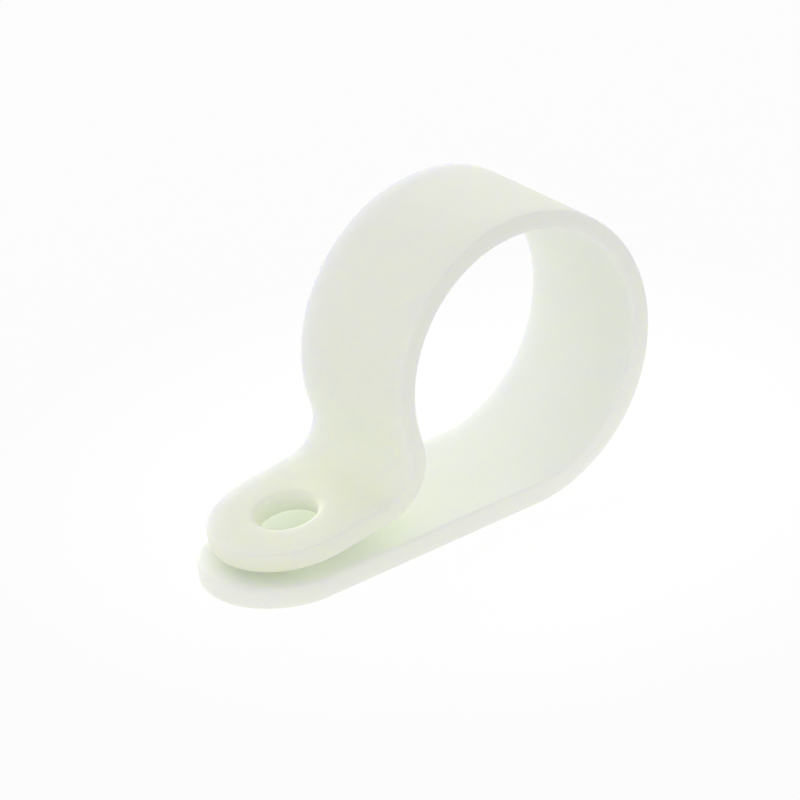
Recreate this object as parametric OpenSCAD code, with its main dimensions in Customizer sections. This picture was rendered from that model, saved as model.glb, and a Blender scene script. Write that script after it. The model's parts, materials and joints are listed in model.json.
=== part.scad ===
// P clip: a cable clamp moulded in one piece from a flat strap.
// The strap starts at the base tab, turns once round the bundle, bends back at the
// mouth and ends in an upper tab above the base. One screw through both tabs closes it.
//
// Frame: X runs from the tabs to the loop, Y lies along the bundle and Z is up.
// The origin is under the loop's axis, in the plane that the base lies on.

/* [Strap] */
// Width of the strap, along the bundle
strap_w = 9.5; // [8:0.5:16]
// Thickness of the base and of the strap where it enters the loop
base_t = 1.3; // [1.1:0.05:2]
// Wall of the loop at its crown, opposite the base
crown_t = 1.15; // [1:0.05:1.8]
// Radius on all long edges of the strap
edge_r = 0.25; // [0.1:0.05:0.4]

/* [Loop] */
// Inside diameter of the loop as moulded
bundle_d = 16; // [10:0.5:32]

/* [Mouth] */
// Radius of the hollow of the bend between the loop and the upper tab
bend_r = 2.1; // [1.5:0.1:4]
// Slope of the upper tab against the base while the clip is open
tab_slope = 7; // [3:0.5:12]
// Gap left between the tabs at the tip of the upper one
tip_gap = 0.55; // [0.3:0.05:3]

/* [Fixing holes] */
// Diameter of both screw holes
hole_d = 3.6; // [3:0.1:5]
// Straight length of the upper tab between the bend and its hole
tab_run = 3.85; // [3:0.05:8]
// How far the base's hole lies ahead of the upper one until the clip is squeezed shut
hole_lead = 0.8; // [0:0.1:1.5]
// Radius on the rims of the holes
rim_r = 0.1; // [0.05:0.05:0.3]
// Radius on the top rim of the upper tab's hole, which leads the screw in
entry_r = 0.4; // [0.1:0.05:0.5]

/* [Hidden] */
$fn = 128;
nylon = [0.90, 0.92, 0.84];

// The bore sits off the centre of the outer round, so the wall thins from base to crown.
bore_r = bundle_d / 2;
outer_r = (base_t + bundle_d + crown_t) / 2;
bore_rise = (base_t - crown_t) / 2;
mean_t = outer_r - bore_r;

// The loop ends, and the bend begins, where the tip of the upper tab clears the base by the gap.
// That place is an angle about the loop's centre, counted from +X towards +Z.
tip_run = tab_run + strap_w / 2;
bend_z = base_t + tip_gap + tip_run * sin(tab_slope) + (bend_r + mean_t) * cos(tab_slope);
bend_at = 180 - asin((bend_z - outer_r) / (outer_r + bend_r));
bend_x = (outer_r + bend_r) * cos(bend_at);
loop_angle = bend_at + 90;
bend_angle = bend_at - 90 - tab_slope;

// Wall of the loop where it ends.
bore_reach = bore_rise * sin(bend_at) + sqrt(bore_r ^ 2 - (bore_rise * cos(bend_at)) ^ 2);
end_t = outer_r - bore_reach;

// The bend and the upper tab form an arm. Its root is this much slimmer all round than the
// loop's end and runs this deep into it. Its thickness is rounded down to a hundredth.
root_step = 0.01;
root_depth = 0.1;
arm_t = floor((end_t - 2 * root_step) * 100) / 100;
arm_w = strap_w - 2 * root_step;
arm_bend_r = bend_r + root_step;
root_angle = root_depth / arm_bend_r * 180 / PI;

// The base is as long as it takes for its hole to lead the upper one.
base_run = tab_run * cos(tab_slope) - bend_r * sin(tab_slope) - bend_x + hole_lead;

// Section of the strap: thickness along X from 0 to t, width centred on Y.
module section(t, w, r) {
  translate([r, -w / 2]) square([t - 2 * r, w]);
  translate([0, r - w / 2]) square([t, w - 2 * r]);
  for (x = [r, t - r], y = [r - w / 2, w / 2 - r])
    translate([x, y]) circle(r);
}

// A section with only one side's edges rounded: the far side (out = true) or the near side.
module half_section(x0, x1, w, r, out) {
  edge = out ? x1 - r : x0 + r;
  translate([out ? x0 : edge, -w / 2]) square([x1 - x0 - r, w]);
  translate([x0, r - w / 2]) square([x1 - x0, w - 2 * r]);
  for (y = [r - w / 2, w / 2 - r])
    translate([edge, y]) circle(r);
}

// Turns a section about an axis along Y. Angles count up from +X towards +Z.
module turned(start, angle) {
  rotate([90, 0, 0]) rotate_extrude(angle = angle, start = start) children();
}

// Straight strap along +X, standing on Z = 0.
module bar(length, t, w) {
  rotate([90, 0, 90]) linear_extrude(length) rotate(90) section(t, w, edge_r);
}

// Flat tab from its round end at -X to x = run. The hole's axis is the Z axis.
module tab(run, t, w, top_r) {
  intersection() {
    union() {
      bar(run, t, w);
      rotate_extrude(angle = 180, start = 90) rounded_disc(w / 2, t);
    }
    rotate_extrude() hole_section(run + w, t, min(top_r, t / 2 - 0.05));
  }
}

// Half section of a tab round its hole, standing on Y = 0. The upper rim has the radius top_r.
module hole_section(reach, t, top_r) {
  wall = hole_d / 2;
  translate([wall, rim_r]) square([reach - wall, t - rim_r - top_r]);
  translate([wall + rim_r, 0]) square([reach - wall - rim_r, t / 2]);
  translate([wall + top_r, t / 2]) square([reach - wall - top_r, t / 2]);
  translate([wall + rim_r, rim_r]) circle(rim_r);
  translate([wall + top_r, t - top_r]) circle(top_r);
}

// Half section of a disc with its rim rounded, standing on Y = 0.
module rounded_disc(r, t) {
  translate([0, t / 2]) half_section(0, r, t, edge_r, true);
}

module base() {
  translate([-base_run, 0, 0]) tab(base_run, base_t, strap_w, rim_r);
}

module loop() {
  intersection() {
    translate([0, 0, outer_r]) turned(-90, loop_angle) half_section(0, outer_r, strap_w, edge_r, true);
    translate([0, 0, outer_r + bore_rise]) turned(0, 360)
      half_section(bore_r, outer_r + base_t, strap_w, edge_r, false);
  }
}

// Bend and upper tab, drawn with the tab level and the bend's axis over the origin.
module arm() {
  turned(-90, bend_angle + root_angle) translate([arm_bend_r, 0]) section(arm_t, arm_w, edge_r);
  translate([-tab_run, 0, -arm_bend_r - arm_t]) tab(tab_run, arm_t, arm_w, entry_r);
}

module p_clip() {
  color(nylon) {
    base();
    loop();
    translate([0, 0, outer_r]) rotate([0, -bend_at, 0]) translate([outer_r + bend_r, 0, 0])
      rotate([0, bend_at - tab_slope, 0]) arm();
  }
}

p_clip();
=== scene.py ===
# %% [markdown]
# # A moulded nylon P clip
#
# A P clip holds a bundle of cables against a panel. It is one piece of undyed nylon: a flat
# strap that starts as a tab with a screw hole, turns once round the bundle, bends back at the
# mouth and ends in a second tab above the first. One screw through both tabs closes it.
#
# The lesson makes the clip in the order in which a maker thinks of it: a flat blank with two
# holes, rounded rims, and then the bend round the bundle. The frame, loaded first, is the
# measured construction. All sizes come from it, so the looks sit exactly where the part is.

# %% Load the frame
import json
import math

import bmesh
import bpy
from mathutils import Matrix, Vector


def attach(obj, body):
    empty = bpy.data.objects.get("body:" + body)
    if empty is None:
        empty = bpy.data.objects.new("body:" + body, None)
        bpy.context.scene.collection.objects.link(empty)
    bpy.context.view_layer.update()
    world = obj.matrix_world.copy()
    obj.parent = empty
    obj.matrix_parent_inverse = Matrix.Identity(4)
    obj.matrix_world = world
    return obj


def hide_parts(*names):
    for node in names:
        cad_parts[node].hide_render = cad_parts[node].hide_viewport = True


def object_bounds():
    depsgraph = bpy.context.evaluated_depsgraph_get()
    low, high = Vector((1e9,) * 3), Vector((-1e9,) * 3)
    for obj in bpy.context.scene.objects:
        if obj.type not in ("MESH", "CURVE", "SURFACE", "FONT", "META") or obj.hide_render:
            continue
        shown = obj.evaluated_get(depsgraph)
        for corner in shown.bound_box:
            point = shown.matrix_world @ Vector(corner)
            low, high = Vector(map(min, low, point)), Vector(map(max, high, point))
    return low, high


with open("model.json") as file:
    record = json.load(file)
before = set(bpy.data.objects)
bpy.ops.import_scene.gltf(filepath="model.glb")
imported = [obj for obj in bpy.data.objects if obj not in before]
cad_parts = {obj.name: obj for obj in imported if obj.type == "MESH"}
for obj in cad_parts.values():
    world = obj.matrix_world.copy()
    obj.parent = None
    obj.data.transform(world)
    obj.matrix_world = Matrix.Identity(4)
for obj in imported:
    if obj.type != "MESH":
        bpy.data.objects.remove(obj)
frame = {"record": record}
record = frame["record"]
box_of_solids = [list(corner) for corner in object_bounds()]
low, high = (Vector(corner) for corner in box_of_solids)
print("size of the part in mm:", [round(1000 * side, 2) for side in high - low])

# %% [markdown]
# ## Sizes from the frame
#
# The frame's record states each interface: the bore that takes the bundle, and the two screw
# holes with their axes and the length of their straight walls. The box gives the strap's width
# and height. What is left follows from these. The wall is thickest at the base and thinnest at
# the crown, because the bore's centre sits a little above the centre of the outer round. A hole
# or bore wall is shorter than the strap is thick or wide by the two rounded rims, and so it
# gives the radius of the rims. One rim is wider: the upper hole's top rim leads the screw in, and
# that radius is the one size here that the record doesn't hold.

# %% Read the interfaces
mounts = {mount["name"]: mount for mount in record["mounts"]}


def size_of(mount_name, key):
    """One stated size of a mount, in metres."""
    return mounts[mount_name]["dims"][key] / 1000


strap_width = high.y - low.y
outer_radius = (high.z - low.z) / 2
bore_radius = size_of("bundle", "r_mm")
bore_rise = mounts["bundle"]["pos_m"][2] - outer_radius
base_thickness = outer_radius + bore_rise - bore_radius
hole_radius = size_of("base_hole", "r_mm")
rim_radius = (base_thickness - size_of("base_hole", "length_mm")) / 2
edge_radius = (strap_width - size_of("bundle", "length_mm")) / 2
base_run = -mounts["base_hole"]["pos_m"][0]
entry_radius = 0.0004
tab_thickness = size_of("upper_hole", "length_mm") + rim_radius + entry_radius
tab_axis = Vector(mounts["upper_hole"]["axis"])
tab_slope = math.atan2(-tab_axis.x, tab_axis.z)
print("base, tab thickness in mm:", round(1000 * base_thickness, 3), round(1000 * tab_thickness, 3))
print("rim and edge radius in mm:", round(1000 * rim_radius, 3), round(1000 * edge_radius, 3))
print("slope of the upper tab:", round(math.degrees(tab_slope), 2), "degrees")

# %% [markdown]
# ## Where the loop ends
#
# The bend at the mouth is an arc that touches two things: the outside of the loop and the top
# of the upper tab. A circle that touches both has its centre on a line parallel to the tab, one
# bend radius above it, and at the loop's radius plus the bend radius from the loop's centre.
# The place where that line and that circle meet gives the centre. The angle of the bend and the
# straight length left for the tab follow, with no trial and error.

# %% Solve the bend
bend_radius = 0.0021


def along(angle):
    """A step of one metre in the XZ plane at this angle, counted from +X towards +Z."""
    return Vector((math.cos(angle), 0, math.sin(angle)))


loop_centre = Vector((0, 0, outer_radius))
hole_centre = Vector(mounts["upper_hole"]["pos_m"]) + (entry_radius - rim_radius) / 2 * tab_axis
line_start = hole_centre + (bend_radius + tab_thickness / 2) * along(tab_slope + math.pi / 2)
to_loop = line_start - loop_centre
reach = outer_radius + bend_radius
nearest = to_loop.dot(along(tab_slope))
tab_run = -nearest - math.sqrt(nearest**2 - to_loop.length_squared + reach**2)
bend_centre = line_start + tab_run * along(tab_slope)
toward_bend = bend_centre - loop_centre
loop_end = math.atan2(toward_bend.z, toward_bend.x) % (2 * math.pi)
loop_angle = loop_end + math.pi / 2
bend_angle = loop_end - math.pi / 2 - tab_slope
print("the loop turns", round(math.degrees(loop_angle), 1), "degrees")
print("the bend turns back", round(math.degrees(bend_angle), 1), "degrees")
print("straight of the upper tab in mm:", round(1000 * tab_run, 2))

# %% [markdown]
# ## Writing formulas as nodes
#
# The strap's shape is a few formulas, and Geometry Nodes can hold them. A tree of Math nodes
# is hard to read when each node takes three lines. So a small class stands for one socket and
# knows how to add, multiply and take a sine: each sign in a formula then places one node, and
# the formula in the script reads like the one on paper.

# %% A number that is a socket
class Number:
    """A float socket of a node tree that takes part in sums like a number."""

    def __init__(self, tree, socket):
        self.tree = tree
        self.socket = socket

    def math(self, operation, *others):
        node = self.tree.nodes.new("ShaderNodeMath")
        node.operation = operation
        for value, socket in zip((self, *others), node.inputs):
            plug(self.tree, value, socket)
        return Number(self.tree, node.outputs[0])

    def __add__(self, other):
        return self.math("ADD", other)

    def __sub__(self, other):
        return self.math("SUBTRACT", other)

    def __mul__(self, other):
        return self.math("MULTIPLY", other)

    def __truediv__(self, other):
        return self.math("DIVIDE", other)

    def __rsub__(self, other):
        return self * -1 + other

    def __neg__(self):
        return self * -1

    __radd__ = __add__
    __rmul__ = __mul__

    def sin(self):
        return self.math("SINE")

    def cos(self):
        return self.math("COSINE")

    def root(self):
        return self.math("SQRT")

    def least(self, other):
        return self.math("MINIMUM", other)

    def most(self, other):
        return self.math("MAXIMUM", other)


def plug(tree, value, socket):
    """Puts a Number, a socket or a plain value into a socket."""
    if isinstance(value, Number):
        tree.links.new(value.socket, socket)
    elif isinstance(value, bpy.types.NodeSocket):
        tree.links.new(value, socket)
    else:
        socket.default_value = value


# %% Helpers that place other nodes
def place(tree, kind, settings=None, **inputs):
    """Adds a node. Its inputs are named in lower case with _ for a space."""
    node = tree.nodes.new(kind)
    for name, value in (settings or {}).items():
        setattr(node, name, value)
    for name, value in inputs.items():
        socket = next(s for s in node.inputs if s.enabled and s.name.lower().replace(" ", "_") == name)
        plug(tree, value, socket)
    return node


def point(tree, x, y, z):
    """A vector socket made of three numbers."""
    return place(tree, "ShaderNodeCombineXYZ", x=x, y=y, z=z).outputs[0]


def place_of_point(tree):
    """The three coordinates of the point that the tree works on, as Numbers."""
    position = place(tree, "GeometryNodeInputPosition").outputs[0]
    split = place(tree, "ShaderNodeSeparateXYZ", vector=position)
    return [Number(tree, socket) for socket in split.outputs]


def join(tree, parts):
    """Joins pieces of mesh and welds the points that they share."""
    joined = place(tree, "GeometryNodeJoinGeometry")
    for part in parts:
        tree.links.new(part, joined.inputs[0])
    return place(tree, "GeometryNodeMergeByDistance", geometry=joined.outputs[0], distance=1e-6).outputs[0]


# %% [markdown]
# ## Trees with named inputs
#
# Each tree gets its sizes through named inputs, as a colleague would expect to find them on the
# modifier. A modifier stores an input under the socket's identifier, and not under the name that
# the panel shows, so the helper looks that up. Both trees end alike: instances become real mesh
# and the material is set.

# %% Make a tree and give it its sizes
def new_tree(name, sizes):
    """A Geometry Nodes tree with one float input for each name in sizes."""
    tree = bpy.data.node_groups.new(name, "GeometryNodeTree")
    tree.interface.new_socket("Geometry", in_out="INPUT", socket_type="NodeSocketGeometry")
    for size in sizes:
        tree.interface.new_socket(size, in_out="INPUT", socket_type="NodeSocketFloat")
    tree.interface.new_socket("Geometry", in_out="OUTPUT", socket_type="NodeSocketGeometry")
    entry = tree.nodes.new("NodeGroupInput")
    return tree, entry, {size: Number(tree, entry.outputs[size]) for size in sizes}


def end_tree(tree, geometry, material):
    """Realizes instances, sets the material and connects the tree's output."""
    real = place(tree, "GeometryNodeRealizeInstances", geometry=geometry)
    dressed = place(tree, "GeometryNodeSetMaterial", geometry=real.outputs[0], material=material)
    tree.links.new(dressed.outputs[0], tree.nodes.new("NodeGroupOutput").inputs[0])


def add_tree(piece, tree, sizes):
    """Puts the tree on a piece as a modifier and fills in its sizes."""
    modifier = piece.modifiers.new(tree.name, "NODES")
    modifier.node_group = tree
    for socket in tree.interface.items_tree:
        if socket.in_out == "INPUT" and socket.name in sizes:
            modifier[socket.identifier] = float(sizes[socket.name])
    return modifier


# %% [markdown]
# ## The material: undyed nylon
#
# Undyed nylon is milky and a little green-yellow. It isn't clear and it isn't opaque: light goes
# in, scatters for a few millimetres and comes out again. That softens each edge and lets light
# glow through a thin wall, and a painted colour can't do it. So the Principled shader's
# subsurface scattering carries the look. All colours scatter over the same distance, about twice
# the wall, and a little blue is lost each time, so light that has gone far comes out warmer.
#
# The shader offers several ways to follow the scattered light. The one made for skin also bends
# the light where it enters and leaves. With the plainer ways the far outline of the round wall
# came out brighter than the wall itself and melted into a white background.
#
# The outside of the loop and the upper tab are a touch yellower than the bore and the base. That tint is
# painted light, not ageing: it stands for the warmer tone that light gives the open outside and the paler
# tone of the hollows. The distance from the loop's axis and the height above the base tell the two apart,
# with a soft change between them.
#
# On top of that, real mouldings are never even. Slow clouds in the resin vary the tone, a fine
# haze varies the gloss where the mould was polished by hand, and the skin has a faint ripple.

# %% Mix the nylon
plain_tone = (0.915, 0.98, 0.83, 1.0)
milky_tone = (0.93, 0.99, 0.86, 1.0)
# painted light: a yellower tint for the outside of the loop and the upper tab
painted_outside_tint = (0.905, 0.985, 0.735, 1.0)
scatter_distance = 0.0025


def noise(tree, where, scale, detail=2.0, roughness=0.5):
    """A noise texture on the object's own coordinates, in features per metre."""
    node = place(tree, "ShaderNodeTexNoise", vector=where, scale=scale, detail=detail, roughness=roughness)
    return Number(tree, node.outputs[0])


def rescale(tree, value, given, wanted):
    """Stretches a value from the given range to the wanted one, and stops at its ends."""
    node = place(
        tree,
        "ShaderNodeMapRange",
        value=value,
        from_min=given[0],
        from_max=given[1],
        to_min=wanted[0],
        to_max=wanted[1],
    )
    return Number(tree, node.outputs[0])


def mix_colours(tree, share, first, second):
    """The first colour, with this share of the second one. The sockets share names, so it counts."""
    mix = place(tree, "ShaderNodeMix", {"data_type": "RGBA"}, factor=share)
    plug(tree, first, mix.inputs[6])
    plug(tree, second, mix.inputs[7])
    return mix.outputs[2]


def outside_share(tree, where):
    """1 on the outside of the loop and on the upper tab, and 0 in the bore and on the base."""
    split = place(tree, "ShaderNodeSeparateXYZ", vector=where)
    x, height = Number(tree, split.outputs[0]), Number(tree, split.outputs[2])
    z = height - loop_centre.z
    from_axis = (x * x + z * z).root()
    into_wall = (bore_radius, bore_radius + 0.0007)
    over_base = (base_thickness, base_thickness + 0.0006)
    return rescale(tree, from_axis, into_wall, (0.0, 1.0)) * rescale(tree, height, over_base, (0.0, 1.0))


def make_nylon():
    material = bpy.data.materials.new("undyed_nylon")
    material.use_nodes = True
    tree = material.node_tree
    shader = tree.nodes["Principled BSDF"]
    where = place(tree, "ShaderNodeTexCoord").outputs["Object"]

    clouds = noise(tree, where, 160.0)
    cloudiness = rescale(tree, clouds, (0.3, 0.7), (0.0, 1.0))
    clouded_tone = mix_colours(tree, cloudiness, plain_tone, milky_tone)
    # painted light: the outside of the loop and the upper tab get the yellower tint
    colour = mix_colours(tree, outside_share(tree, where), clouded_tone, painted_outside_tint)
    plug(tree, colour, shader.inputs["Base Color"])

    haze = noise(tree, where, 700.0, detail=4.0)
    plug(tree, rescale(tree, haze, (0.3, 0.7), (0.55, 0.7)), shader.inputs["Roughness"])

    ripple = noise(tree, where, 450.0, detail=3.0)
    bump = place(tree, "ShaderNodeBump", strength=0.08, distance=0.0001, height=ripple)
    plug(tree, bump.outputs[0], shader.inputs["Normal"])

    shader.subsurface_method = "RANDOM_WALK_SKIN"
    shader.inputs["IOR"].default_value = 1.53
    shader.inputs["Specular IOR Level"].default_value = 0.5
    shader.inputs["Subsurface Weight"].default_value = 1.0
    shader.inputs["Subsurface Radius"].default_value = (1.0, 1.0, 1.0)
    shader.inputs["Subsurface Scale"].default_value = scatter_distance
    return material


nylon = make_nylon()
print("nylon nodes:", len(nylon.node_tree.nodes))

# %% [markdown]
# ## The flat blank
#
# Unrolled, the clip is a plain strip with two round ends and two holes. The round end is the
# only part that needs thought, because a hole in a plain grid leaves ragged edges that can't be
# rounded cleanly. So each end is a ring of quads round the hole, made of four sectors. A point of
# a sector lies on a ray from the hole's centre, somewhere between the hole and the outline: the
# arc of the tip, a straight side, or the line where the plain strip takes over. The strip between
# the two ends keeps the same columns of quads, so that all of them weld without a seam.

# %% Divide the blank
flat_thickness = (base_thickness + tab_thickness) / 2
apron = hole_radius + 0.0015
loop_length = outer_radius * loop_angle
bend_length = (bend_radius + tab_thickness / 2) * bend_angle
columns = 12
rings = 3
tip_steps = 48
side_steps = 8
base_steps = 6
loop_steps = 120
bend_steps = 32
tab_steps = 2
blank_sizes = {
    "Width": strap_width,
    "Thickness": flat_thickness,
    "Hole Radius": hole_radius,
    "Apron": apron,
    "Base Run": base_run,
    "Loop Length": loop_length,
    "Bend Length": bend_length,
    "Tab Run": tab_run,
    "Edge Weight": edge_radius / entry_radius,
    "Rim Weight": rim_radius / entry_radius,
}
blank_length = base_run + loop_length + bend_length + tab_run + strap_width
print("length of the flat blank in mm:", round(1000 * blank_length, 1))


# %% One sector of the ring round a hole
def laid_grid(tree, count_x, count_y, position):
    """A unit grid of count_x by count_y quads, with each point moved to its position."""
    grid = place(
        tree,
        "GeometryNodeMeshGrid",
        size_x=1.0,
        size_y=1.0,
        vertices_x=count_x + 1,
        vertices_y=count_y + 1,
    )
    mesh = grid.outputs["Mesh"]
    return place(tree, "GeometryNodeSetPosition", geometry=mesh, position=position).outputs[0]


def sector(tree, size, start, end, steps, outline):
    """Quads between the hole and the outline, whose distance at an angle is outline(angle)."""
    x, y, _ = place_of_point(tree)
    angle = (y + 0.5) * (end - start) + start
    radius = (x + 0.5) * (outline(angle) - size["Hole Radius"]) + size["Hole Radius"]
    ring = point(tree, radius * angle.cos(), radius * angle.sin(), 0.0)
    return laid_grid(tree, rings, steps, ring)


def round_end(tree, size):
    """A tab's end with its hole over the origin and the strap leaving along +X."""
    half = size["Width"] / 2
    corner = half.math("ARCTAN2", size["Apron"])
    upright = math.pi / 2
    sectors = [
        sector(tree, size, upright, upright + math.pi, tip_steps, lambda angle: half),
        sector(tree, size, corner, upright, side_steps, lambda angle: half / angle.sin()),
        sector(tree, size, -upright, -corner, side_steps, lambda angle: -half / angle.sin()),
        sector(tree, size, -corner, corner, columns, lambda angle: size["Apron"] / angle.cos()),
    ]
    return join(tree, sectors), corner


# %% The plain strip between the ends
def strip(tree, size, corner, start, length, steps):
    """Rows of quads along X whose columns meet those of a round end."""
    x, y, _ = place_of_point(tree)
    across = size["Apron"] * (y * 2 * corner).math("TANGENT")
    row = point(tree, (x + 0.5) * length + start, across, 0.0)
    return laid_grid(tree, steps, columns, row)


# %% [markdown]
# ## Which edges are rims
#
# The rims are the edges where a face meets the side wall at a right angle, so the angle between
# the two faces of an edge finds them all. They are rounded by a Bevel modifier, which reads a
# weight from each edge. The upper hole's top rim has the widest round and so the full weight. The
# outline has less, and the other three rims of the holes have the least. The blank lies with the
# loop's outside down, and on the upper tab that side becomes the top.

# %% Weigh the rims
reach_round_hole = 1.05
least_fold = 1.0


def rim_weight(tree, size, upper_hole):
    """The weight of an edge: 1 for the widest round, and 0 where nothing is rounded."""
    x, y, z = place_of_point(tree)
    base_distance = ((x + size["Base Run"]) * (x + size["Base Run"]) + y * y).root()
    tab_distance = ((x - upper_hole) * (x - upper_hole) + y * y).root()
    near_hole = size["Hole Radius"] * reach_round_hole
    at_hole = base_distance.least(tab_distance).math("LESS_THAN", near_hole)
    at_entry = tab_distance.math("LESS_THAN", near_hole) * z.math("LESS_THAN", size["Thickness"] / 2)
    fold = Number(tree, place(tree, "GeometryNodeInputMeshEdgeAngle").outputs["Unsigned Angle"])
    is_rim = fold.math("GREATER_THAN", least_fold)
    weight = size["Edge Weight"] + at_hole * (size["Rim Weight"] - size["Edge Weight"])
    return is_rim * (weight + at_entry * (1 - size["Rim Weight"]))


# %% Build the blank's tree
def shifted(tree, geometry, distance):
    """The geometry moved along X."""
    step = point(tree, distance, 0.0, 0.0)
    return place(tree, "GeometryNodeTransform", geometry=geometry, translation=step).outputs[0]


def blank_tree(material):
    tree, _, size = new_tree("Flat blank", blank_sizes)
    end, corner = round_end(tree, size)
    upper_hole = size["Loop Length"] + size["Bend Length"] + size["Tab Run"]
    turned_end = place(tree, "GeometryNodeTransform", geometry=end, rotation=(0.0, 0.0, math.pi))
    base_start = size["Apron"] - size["Base Run"]
    bend_start = size["Loop Length"]
    tab_start = bend_start + size["Bend Length"]
    parts = [
        shifted(tree, end, -size["Base Run"]),
        strip(tree, size, corner, base_start, -base_start, base_steps),
        strip(tree, size, corner, 0.0, bend_start, loop_steps),
        strip(tree, size, corner, bend_start, size["Bend Length"], bend_steps),
        strip(tree, size, corner, tab_start, size["Tab Run"] - size["Apron"], tab_steps),
        shifted(tree, turned_end.outputs[0], upper_hole),
    ]
    sheet = join(tree, parts)
    raised = place(
        tree,
        "GeometryNodeExtrudeMesh",
        mesh=sheet,
        offset=point(tree, 0.0, 0.0, size["Thickness"]),
        offset_scale=1.0,
        individual=False,
    )
    underside = place(tree, "GeometryNodeFlipFaces", mesh=sheet)
    slab = join(tree, [raised.outputs["Mesh"], underside.outputs[0]])

    weight = rim_weight(tree, size, upper_hole)
    weighted = place(
        tree,
        "GeometryNodeStoreNamedAttribute",
        {"data_type": "FLOAT", "domain": "EDGE"},
        geometry=slab,
        name="bevel_weight_edge",
        value=weight,
    )
    end_tree(tree, weighted.outputs[0], material)
    return tree


# %% [markdown]
# ## Bending the blank
#
# The second tree moves each point of the flat blank to its place on the finished clip. How far a
# point lies along the blank says which stretch it is on: base, loop, bend or upper tab. How high
# it lies in the blank's thickness says where it is between the strap's two skins. On the loop the
# outer skin is a circle, and the inner skin is the bore, a circle whose centre is a little higher,
# so the wall thins towards the crown with no table of thicknesses.
#
# A Curve to Mesh sweep would be the usual way to make a strap. It was not chosen because it can
# make neither the round ends nor the holes, and because its wall has one thickness.

# %% Build the bending tree
bend_sizes = {
    "Thickness": flat_thickness,
    "Outer Radius": outer_radius,
    "Bore Radius": bore_radius,
    "Bore Rise": bore_rise,
    "Loop End": loop_end,
    "Loop Length": loop_length,
    "Bend Length": bend_length,
    "Bend Radius": bend_radius,
    "Bend Angle": bend_angle,
    "Tab Slope": tab_slope,
    "Tab Thickness": tab_thickness,
}


def on_base_and_loop(size, x, depth):
    """X and Z of a point on the base or the loop. depth is 0 on the outer skin and 1 on the inner."""
    on_base = x.least(0.0)
    angle = x.most(0.0).least(size["Loop Length"]) / size["Outer Radius"] - math.pi / 2
    across_rise = size["Bore Rise"] * angle.cos()
    half_chord = (size["Bore Radius"] * size["Bore Radius"] - across_rise * across_rise).root()
    bore = size["Bore Rise"] * angle.sin() + half_chord
    radius = size["Outer Radius"] + (bore - size["Outer Radius"]) * depth
    return on_base + radius * angle.cos(), size["Outer Radius"] + radius * angle.sin()


def on_bend_and_tab(size, x, depth):
    """X and Z of a point on the bend or the upper tab. The bend's hollow faces the outer skin."""
    past_loop = (x - size["Loop Length"]).most(0.0)
    share = past_loop.least(size["Bend Length"]) / size["Bend Length"]
    on_tab = (past_loop - size["Bend Length"]).most(0.0)
    reach = size["Outer Radius"] + size["Bend Radius"]
    centre_x = reach * size["Loop End"].cos()
    centre_z = reach * size["Loop End"].sin() + size["Outer Radius"]
    angle = size["Loop End"] - math.pi - share * size["Bend Angle"]
    radius = size["Bend Radius"] + size["Tab Thickness"] * depth
    away_x = centre_x + radius * angle.cos() - on_tab * size["Tab Slope"].cos()
    away_z = centre_z + radius * angle.sin() - on_tab * size["Tab Slope"].sin()
    return away_x, away_z


def bending_tree(material):
    tree, entry, size = new_tree("Bend round the bundle", bend_sizes)
    x, y, z = place_of_point(tree)
    depth = z / size["Thickness"]
    loop_x, loop_z = on_base_and_loop(size, x, depth)
    tab_x, tab_z = on_bend_and_tab(size, x, depth)
    target = place(
        tree,
        "GeometryNodeSwitch",
        {"input_type": "VECTOR"},
        switch=x.math("GREATER_THAN", size["Loop Length"]),
        false=point(tree, loop_x, y, loop_z),
        true=point(tree, tab_x, y, tab_z),
    )
    blank = entry.outputs["Geometry"]
    moved = place(tree, "GeometryNodeSetPosition", geometry=blank, position=target.outputs[0])
    smooth = place(tree, "GeometryNodeSetShadeSmooth", geometry=moved.outputs[0])
    end_tree(tree, smooth.outputs[0], material)
    return tree


# %% [markdown]
# ## One plain mesh
#
# The modifiers run in this order: the flat blank, the rounded rims, the bend, and last the
# weighted normals, which keep the flat faces flat in the light while the narrow rims stay soft.
# The result is copied out as a plain mesh, so that what is rendered and measured is the same, and the clip
# carries no live tree.

# %% Make the clip
def make_clip(material):
    piece = bpy.data.objects.new("clip_strap", bpy.data.meshes.new("clip_strap"))
    bpy.context.scene.collection.objects.link(piece)
    add_tree(piece, blank_tree(material), blank_sizes)
    bevel = piece.modifiers.new("Rounded rims", "BEVEL")
    bevel.limit_method = "WEIGHT"
    bevel.width = entry_radius
    bevel.segments = 5
    bevel.use_clamp_overlap = False
    add_tree(piece, bending_tree(material), bend_sizes)
    piece.modifiers.new("Weighted normals", "WEIGHTED_NORMAL")

    depsgraph = bpy.context.evaluated_depsgraph_get()
    finished = bpy.data.meshes.new_from_object(piece.evaluated_get(depsgraph), depsgraph=depsgraph)
    piece.modifiers.clear()
    finished.name = "clip_strap"
    finished.materials.clear()
    finished.materials.append(material)
    piece.data = finished
    return piece


clip = make_clip(nylon)
print("faces:", len(clip.data.polygons), "vertices:", len(clip.data.vertices))
print("materials:", [slot.name for slot in clip.material_slots])
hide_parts("p_clip")
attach(clip, "root")

# %% [markdown]
# ## Checking the mesh
#
# A closed solid has exactly two faces at each edge, and its signed volume is positive when its
# faces point outwards. Both are quick to measure, and a fault shows here before it shows in light.

# %% Measure the mesh
check = bmesh.new()
check.from_mesh(clip.data)
open_edges = sum(1 for edge in check.edges if not edge.is_manifold)
print("open edges:", open_edges, " volume in cubic mm:", round(check.calc_volume(signed=True) * 1e9, 1))
check.free()

# %% [markdown]
# ## The table it lies on
#
# The clip lies on a plain white table that runs out of sight. To the camera the table is almost
# purely white, and only a part of what it shows is lit, so the clip's own soft shadow stays as a
# faint tone. To the light it is an ordinary white surface, which lights the clip from below.
#
# The clip shades the table right beneath it, and with it the gap between the tabs. A small patch
# there glows faintly and gives some of that light back. It fades out within three centimetres of
# the clip's origin.

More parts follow.
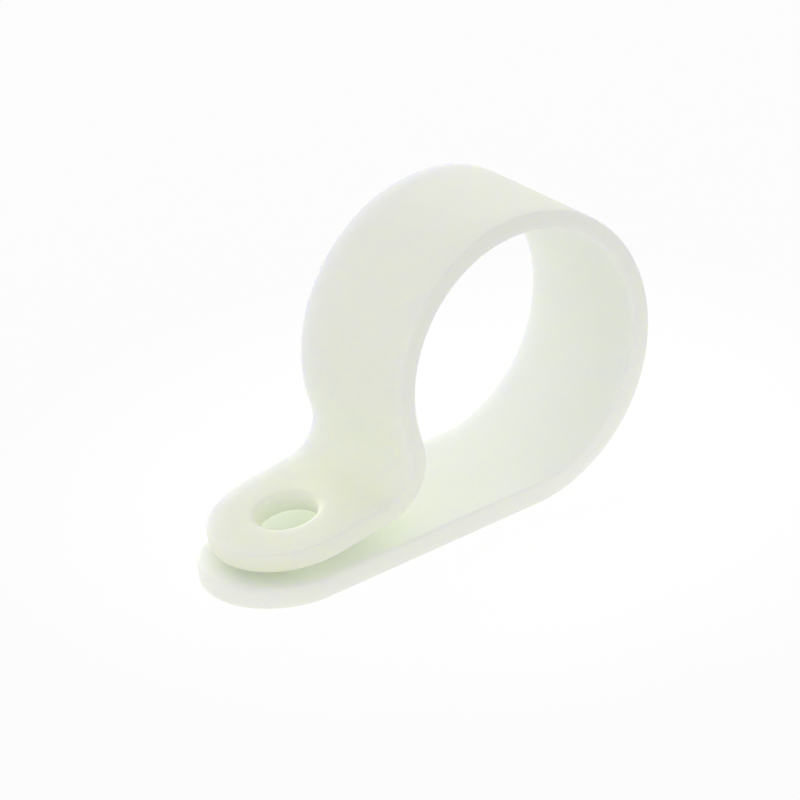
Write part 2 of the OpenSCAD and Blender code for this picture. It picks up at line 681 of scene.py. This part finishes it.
# %% Make the floor
floor_half_side = 3.0
floor_drop = 0.00002
patch_fade = (0.018, 0.03)
patch_strength = 0.28
lit_share_of_floor = 0.08


def is_seen(tree):
    """1 where the camera, a reflection or clear glass looks at a surface, and 0 for plain light."""
    ray = place(tree, "ShaderNodeLightPath")
    camera = Number(tree, ray.outputs["Is Camera Ray"])
    mirrored = Number(tree, ray.outputs["Is Glossy Ray"])
    through = Number(tree, ray.outputs["Is Transmission Ray"])
    return camera.most(mirrored).most(through)


def mix_shaders(tree, share, first, second):
    """The first shader, with this share of the second one."""
    mix = tree.nodes.new("ShaderNodeMixShader")
    plug(tree, share, mix.inputs[0])
    tree.links.new(first, mix.inputs[1])
    tree.links.new(second, mix.inputs[2])
    return mix.outputs[0]


def make_floor():
    mesh = bpy.data.meshes.new("floor")
    signs = ((-1, -1), (1, -1), (1, 1), (-1, 1))
    corners = [(floor_half_side * x, floor_half_side * y, -floor_drop) for x, y in signs]
    mesh.from_pydata(corners, [], [(0, 1, 2, 3)])
    floor = bpy.data.objects.new("floor", mesh)
    bpy.context.scene.collection.objects.link(floor)
    material = bpy.data.materials.new("white_table")
    material.use_nodes = True
    tree = material.node_tree
    tree.nodes.remove(tree.nodes["Principled BSDF"])
    sheet = place(tree, "ShaderNodeBsdfDiffuse", color=(0.9, 0.9, 0.9, 1.0))
    where = place(tree, "ShaderNodeTexCoord").outputs["Object"]
    away = place(tree, "ShaderNodeVectorMath", {"operation": "LENGTH"}, vector=where).outputs["Value"]
    strength = rescale(tree, away, patch_fade, (patch_strength, 0.0))
    glow = place(tree, "ShaderNodeEmission", strength=strength)
    lit = tree.nodes.new("ShaderNodeAddShader")
    tree.links.new(sheet.outputs[0], lit.inputs[0])
    tree.links.new(glow.outputs[0], lit.inputs[1])
    white = tree.nodes.new("ShaderNodeEmission").outputs[0]
    faint = mix_shaders(tree, lit_share_of_floor, white, lit.outputs[0])
    surface = mix_shaders(tree, is_seen(tree), lit.outputs[0], faint)
    tree.links.new(surface, tree.nodes["Material Output"].inputs["Surface"])
    mesh.materials.append(material)
    return floor


make_floor()

# %% [markdown]
# ## Soft light
#
# Small white parts are shot in a light tent: white cloth all round, lit from outside. A plain
# world does the same. Four soft boxes stand round the table and give the faces slightly
# different tones, which is all that tells one milky surface from the next. The box behind is the
# strongest and stands low, so that its light gets into the gap between the tabs and into the
# loop. That has a cost: seen from behind, the side faces turned to it are at full white in red
# and green.

# %% Light the scene
tent_strength = 0.54
box_width = 0.4
low_box, tall_box = 0.26, 0.4


def make_light_tent():
    world = bpy.data.worlds.new("light_tent")
    bpy.context.scene.world = world
    world.use_nodes = True
    tree = world.node_tree
    cloth = tree.nodes["Background"]
    cloth.inputs["Color"].default_value = (1.0, 1.0, 1.0, 1.0)
    cloth.inputs["Strength"].default_value = tent_strength
    white = tree.nodes.new("ShaderNodeBackground")
    white.inputs["Color"].default_value = (1.0, 1.0, 1.0, 1.0)
    surface = mix_shaders(tree, is_seen(tree), cloth.outputs[0], white.outputs[0])
    tree.links.new(surface, tree.nodes["World Output"].inputs["Surface"])


def make_lamp(name, place_at, height, power):
    """A soft box of this height that faces the middle of the clip."""
    lamp = bpy.data.lights.new(name, "AREA")
    lamp.shape = "RECTANGLE"
    lamp.size = box_width
    lamp.size_y = height
    lamp.energy = power
    holder = bpy.data.objects.new(name, lamp)
    bpy.context.scene.collection.objects.link(holder)
    holder.location = place_at
    toward_clip = (low + high) / 2 - Vector(place_at)
    holder.rotation_euler = toward_clip.to_track_quat("-Z", "Y").to_euler()


make_light_tent()
make_lamp("front", (0.0, -0.45, 0.22), tall_box, 0.34)
make_lamp("behind", (0.1, 0.45, 0.13), low_box, 1.15)
make_lamp("left", (-0.45, 0.1, 0.13), low_box, 0.38)
make_lamp("right", (0.45, 0.1, 0.13), low_box, 0.3)

# %% [markdown]
# ## The camera
#
# The clip is seen from the front left and from above, with a long lens from close to half a
# metre, so its parallel edges stay nearly parallel. The camera is turned a few degrees about its
# own axis, and the clip leans with it. It aims at a point of the clip's middle plane, between the
# loop and the tabs.

# %% Set the camera
azimuth, elevation, roll = math.radians(-35.48), math.radians(27.0), math.radians(-5.51)
distance = 0.4218
focal_length = 328.5
aim = Vector((-0.005755, 0.0, 0.007398))


def make_camera():
    level = Vector((math.cos(azimuth), math.sin(azimuth), 0))
    ahead = Vector((-math.sin(azimuth), math.cos(azimuth), 0))
    view = math.cos(elevation) * ahead - math.sin(elevation) * Vector((0, 0, 1))
    upright = level.cross(view)
    right = math.cos(roll) * level + math.sin(roll) * upright
    up = math.cos(roll) * upright - math.sin(roll) * level
    data = bpy.data.cameras.new("camera")
    data.sensor_width = 36.0
    data.lens = focal_length
    data.clip_start = 0.01
    camera = bpy.data.objects.new("camera", data)
    bpy.context.scene.collection.objects.link(camera)
    turn = Matrix((right, up, -view)).transposed().to_4x4()
    camera.matrix_world = Matrix.Translation(aim - distance * view) @ turn
    return camera


bpy.context.scene.camera = make_camera()
bpy.context.scene.view_settings.view_transform = "Standard"

# %% [markdown]
# ## The box of the solids
#
# The box of the solids is printed.

# %% Print the box of the solids
print("solids:", box_of_solids)
